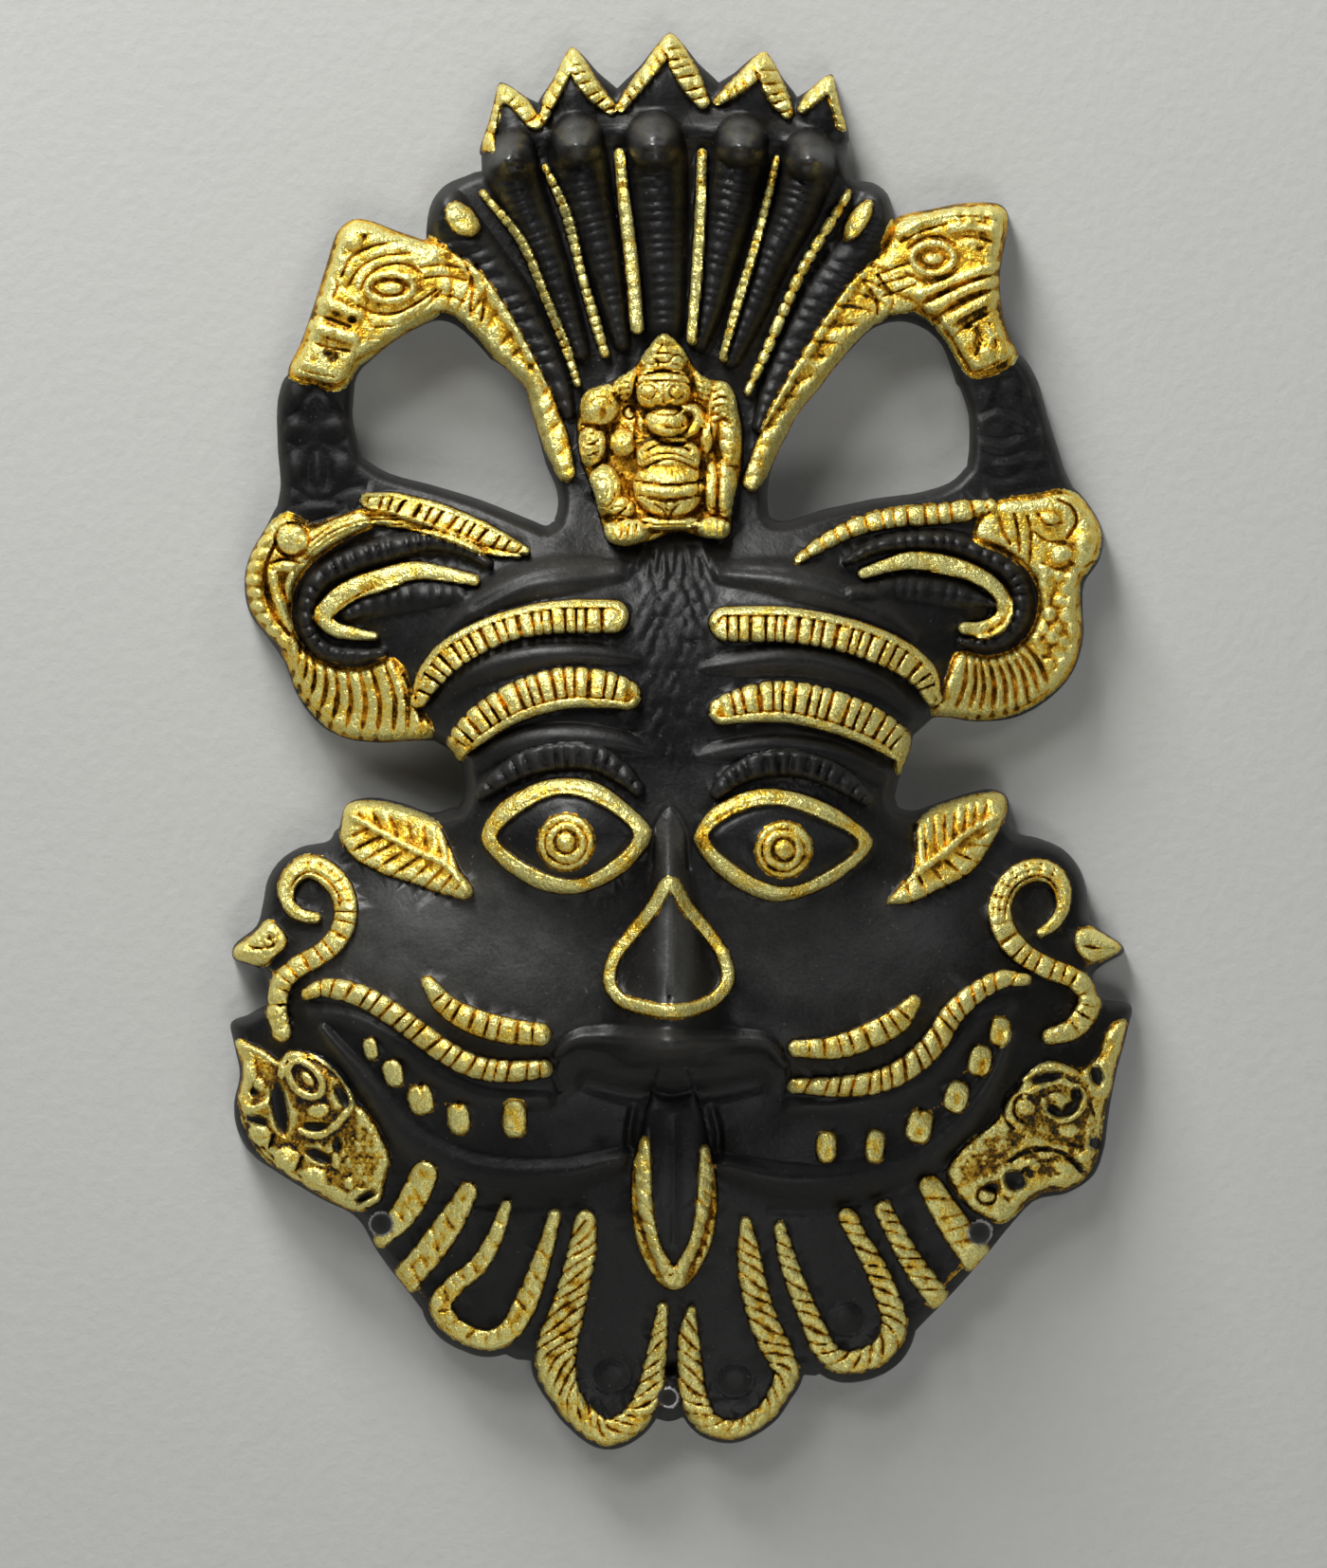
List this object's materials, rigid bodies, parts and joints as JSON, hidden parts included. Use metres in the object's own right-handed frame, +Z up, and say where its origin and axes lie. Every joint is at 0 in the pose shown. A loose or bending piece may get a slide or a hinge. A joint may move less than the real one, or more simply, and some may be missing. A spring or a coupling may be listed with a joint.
{
  "type": "kirtimukha wall mask",
  "caption": "Hollow cast wall mask of a grinning lion-like guardian face under a cobra-hood crown, painted black with gold relief, flat-backed to hang on a wall",
  "frame": {"origin": "on the flat back of the crown, behind the middle cobra hood, in the wall plane and on the mask's centre line", "axes": "+Z up the wall, +Y into the wall, the face looks along -Y, +X to the right as one looks at the face"},
  "size_m": [0.1777, 0.051, 0.2794],
  "materials": {
    "painted_casting": "matt black paint over cast aluminium, raised ornament hand-painted in metallic gold, bare metal at the rims of the three holes"
  },
  "bodies": {
    "root": {"mask_casting": "painted_casting"}
  },
  "joints": []
}
